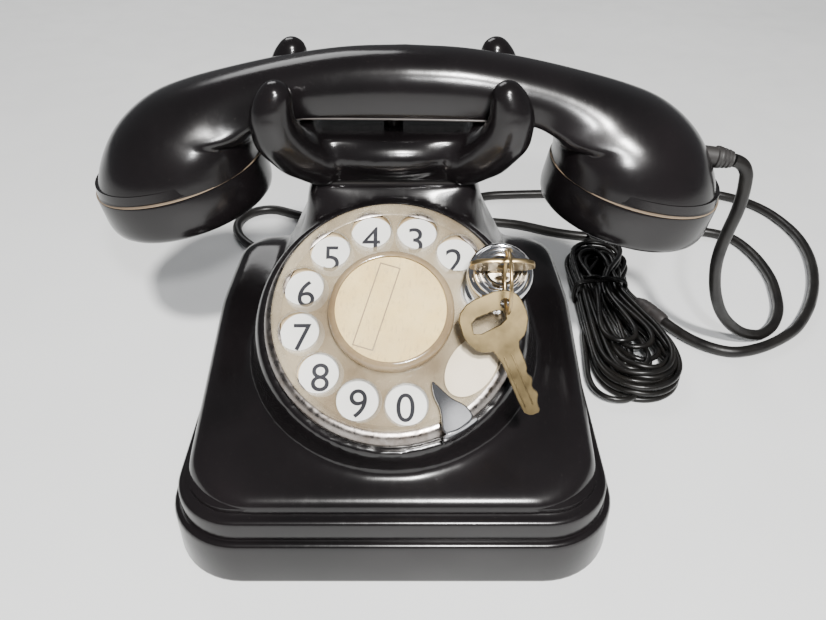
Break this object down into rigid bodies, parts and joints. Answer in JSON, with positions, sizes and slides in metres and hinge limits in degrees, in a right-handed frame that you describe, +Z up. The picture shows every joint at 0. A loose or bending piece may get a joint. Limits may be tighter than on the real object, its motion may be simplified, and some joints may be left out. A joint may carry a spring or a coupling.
{
  "type": "rotary desk telephone",
  "caption": "Desk telephone with a sloping rotary dial, a horned cradle on a neck, a lift-off handset, a dial lock with keys, and its cords.",
  "frame": {"origin": "on the table, under the middle of the base (the cords and the handset, which lies 4 mm to the right, are not centred on it)", "axes": "+X right as the user faces the dial, +Y to the back, +Z up"},
  "size_m": [0.3384, 0.2815, 0.1454],
  "materials": {
    "bakelite": "polished black phenolic, faint brown tint",
    "plate_steel": "grey paint",
    "foot_rubber": "matt",
    "screw_steel": "plain",
    "plunger_bakelite": "worn",
    "spring_alloy": "nickel silver",
    "bracket_steel": "zinc plated",
    "dial_ring_metal": "dull, scratched",
    "number_enamel": "white enamel",
    "stop_chrome": "polished",
    "dial_casting": "as cast",
    "bright_steel": "ground",
    "gear_brass": "machined",
    "blue_spring": "blued",
    "wheel_clear": "clear, yellowed with age",
    "hub_ivory": "aged",
    "card_paper": "aged paper card",
    "cover_clear": "clear acetate",
    "card_ring_plastic": "clear, yellowed",
    "lock_chrome": "turned rings",
    "key_brass": "tarnished",
    "ring_brass": "wire",
    "coil_winding": "varnished cotton over wire",
    "gong_metal": "nickel plated",
    "can_zinc": "folded can",
    "strip_phenolic": "brown laminate",
    "grommet_rubber": "moulded",
    "capsule_alloy": "drawn",
    "cord_jacket": "smooth black jacket",
    "joint_rubber": "moulded",
    "thin_jacket": "smooth black vinyl",
    "tie_jacket": "same thin cord",
    "plug_plastic": "moulded"
  },
  "bodies": {
    "case": {"case_shell": "bakelite", "base_plate": "plate_steel", "rubber_feet": "foot_rubber", "base_screws": "screw_steel", "cradle": "bakelite", "cradle_screws": "screw_steel", "switch_springs": "spring_alloy", "switch_bracket": "bracket_steel", "dial_ring": "dial_ring_metal", "number_plate": "number_enamel", "finger_stop": "stop_chrome", "dial_frame": "dial_casting", "return_spring": "blue_spring", "pulse_contacts": "spring_alloy", "governor_cup": "dial_casting", "ringer_frame": "bracket_steel", "ringer_coils": "coil_winding", "gong_left": "gong_metal", "gong_right": "gong_metal", "gong_screws": "screw_steel", "induction_coil": "coil_winding", "condenser": "can_zinc", "terminal_strip": "strip_phenolic", "cord_grommets": "grommet_rubber", "handset_cord": "cord_jacket", "line_cord": "cord_jacket", "cord_joint": "joint_rubber", "hank": "thin_jacket", "hank_tie": "tie_jacket", "plug_lead": "thin_jacket", "wall_plug": "plug_plastic"},
    "handset": {"handset_handle": "bakelite", "ear_cap": "bakelite", "mouth_cap": "bakelite", "receiver_capsule": "capsule_alloy", "transmitter_capsule": "capsule_alloy", "handset_grommet": "grommet_rubber"},
    "hook_switch": {"hook_plunger": "plunger_bakelite"},
    "dial_rotor": {"finger_wheel": "wheel_clear", "wheel_hub": "hub_ivory", "center_card": "card_paper", "card_cover": "cover_clear", "card_ring": "card_ring_plastic", "dial_shaft": "bright_steel", "main_gear": "gear_brass", "lock_body": "lock_chrome"},
    "pulse_train": {"pulse_pinion": "gear_brass"},
    "dial_governor": {"governor": "gear_brass"},
    "lock_core": {"lock_plug": "lock_chrome", "lock_key": "key_brass", "key_ring": "ring_brass"},
    "hanging_key": {"spare_key": "key_brass"},
    "ringer_clapper": {"clapper": "bright_steel"}
  },
  "joints": [
    {"name": "handset_lift", "type": "slide", "parent": "case", "child": "handset", "axis": [0, 0, 1], "range_m": [0, 0.06]},
    {"name": "hook_plunger_rise", "type": "slide", "parent": "case", "child": "hook_switch", "axis": [0, 0, 1], "range_m": [0, 0.005]},
    {"name": "dial_turn", "type": "hinge", "parent": "case", "child": "dial_rotor", "pos_m": [0, -0.0352, 0.0805], "axis": [0, -0.5736, 0.8192], "range_deg": [-45, 0], "stiffness_Nm_per_rad": 0.02, "springref_deg": 17.19},
    {"name": "pulse_turn", "type": "hinge", "parent": "case", "child": "pulse_train", "pos_m": [-0.01273, -0.00757, 0.06323], "axis": [0, -0.5736, 0.8192], "range_deg": [0, 180]},
    {"name": "governor_turn", "type": "hinge", "parent": "case", "child": "dial_governor", "pos_m": [-0.00684, -0.02995, 0.04023], "axis": [0, -0.5736, 0.8192], "range_deg": [-360, 0]},
    {"name": "lock_turn", "type": "hinge", "parent": "dial_rotor", "child": "lock_core", "pos_m": [0.0345, -0.03201, 0.0925], "axis": [0, -0.5736, 0.8192], "range_deg": [0, 90]},
    {"name": "spare_key_swing", "type": "hinge", "parent": "lock_core", "child": "hanging_key", "pos_m": [0.0352, -0.0452, 0.09095], "axis": [0, -0.5736, 0.8192], "range_deg": [-5, 5]},
    {"name": "clapper_swing", "type": "hinge", "parent": "case", "child": "ringer_clapper", "pos_m": [0, 0.0597, 0.016], "axis": [0, 0, 1], "range_deg": [-1.9, 1.9], "stiffness_Nm_per_rad": 0.01}
  ],
  "couplings": [
    {"joint": "hook_plunger_rise", "follows": "handset_lift", "ratio": 0.083333},
    {"joint": "pulse_turn", "follows": "dial_turn", "ratio": -4},
    {"joint": "governor_turn", "follows": "dial_turn", "ratio": 8}
  ]
}
